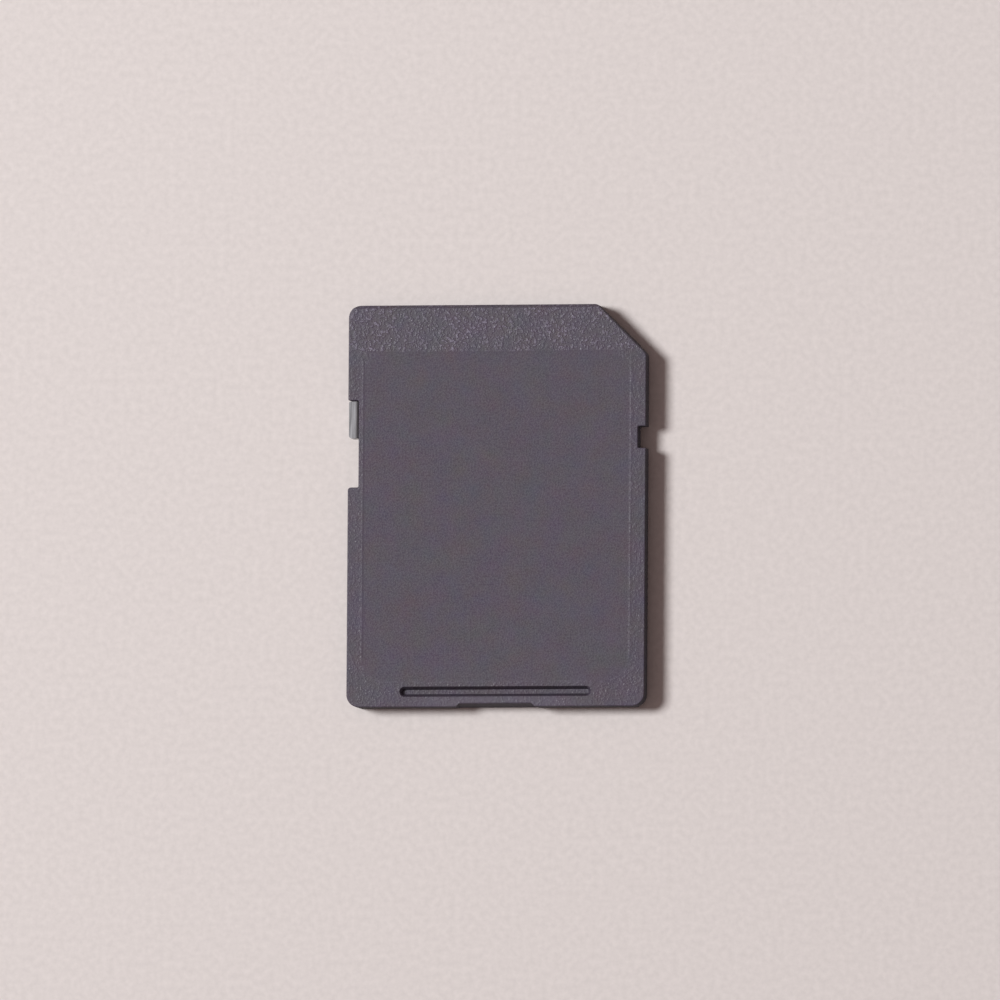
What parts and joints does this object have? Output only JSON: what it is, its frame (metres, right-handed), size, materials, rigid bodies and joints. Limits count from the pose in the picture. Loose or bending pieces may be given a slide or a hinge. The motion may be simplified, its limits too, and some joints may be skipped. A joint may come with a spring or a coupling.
{
  "type": "memory card",
  "caption": "Flat full-size memory card with one cut corner, guide rails, contact windows on the back, a rear grip groove and a sliding write-protect switch.",
  "frame": {"origin": "middle of the flat contact face, on the surface that the card lies on", "axes": "+X across the card, +Y towards the contact end, +Z to the label face; the cut corner is at +X, +Y"},
  "size_m": [0.024, 0.032, 0.0021],
  "materials": {
    "shell_plastic": "moulded, fine spark-eroded grain",
    "switch_plastic": "moulded, satin",
    "board_laminate": "solder mask",
    "chip_resin": "moulded resin",
    "tinned_leads": "tinned",
    "contact_gold": "gold plated",
    "capacitor_ceramic": "fired ceramic"
  },
  "bodies": {
    "card": {"top_shell": "shell_plastic", "bottom_shell": "shell_plastic", "circuit_board": "board_laminate", "flash_package": "chip_resin", "flash_leads": "tinned_leads", "controller": "chip_resin", "contact_1": "contact_gold", "contact_2": "contact_gold", "contact_3": "contact_gold", "contact_4": "contact_gold", "contact_5": "contact_gold", "contact_6": "contact_gold", "contact_7": "contact_gold", "contact_8": "contact_gold", "contact_9": "contact_gold", "capacitor_1": "capacitor_ceramic", "capacitor_2": "capacitor_ceramic", "capacitor_3": "capacitor_ceramic", "capacitor_4": "capacitor_ceramic", "capacitor_5": "capacitor_ceramic", "capacitor_6": "capacitor_ceramic", "resistor_1": "chip_resin", "resistor_2": "chip_resin", "resistor_3": "chip_resin", "resistor_4": "chip_resin"},
    "switch": {"write_protect_switch": "switch_plastic"}
  },
  "joints": [
    {"name": "write_protect_slide", "type": "slide", "parent": "card", "child": "switch", "axis": [0, -1, 0], "range_m": [0, 0.0035]}
  ]
}
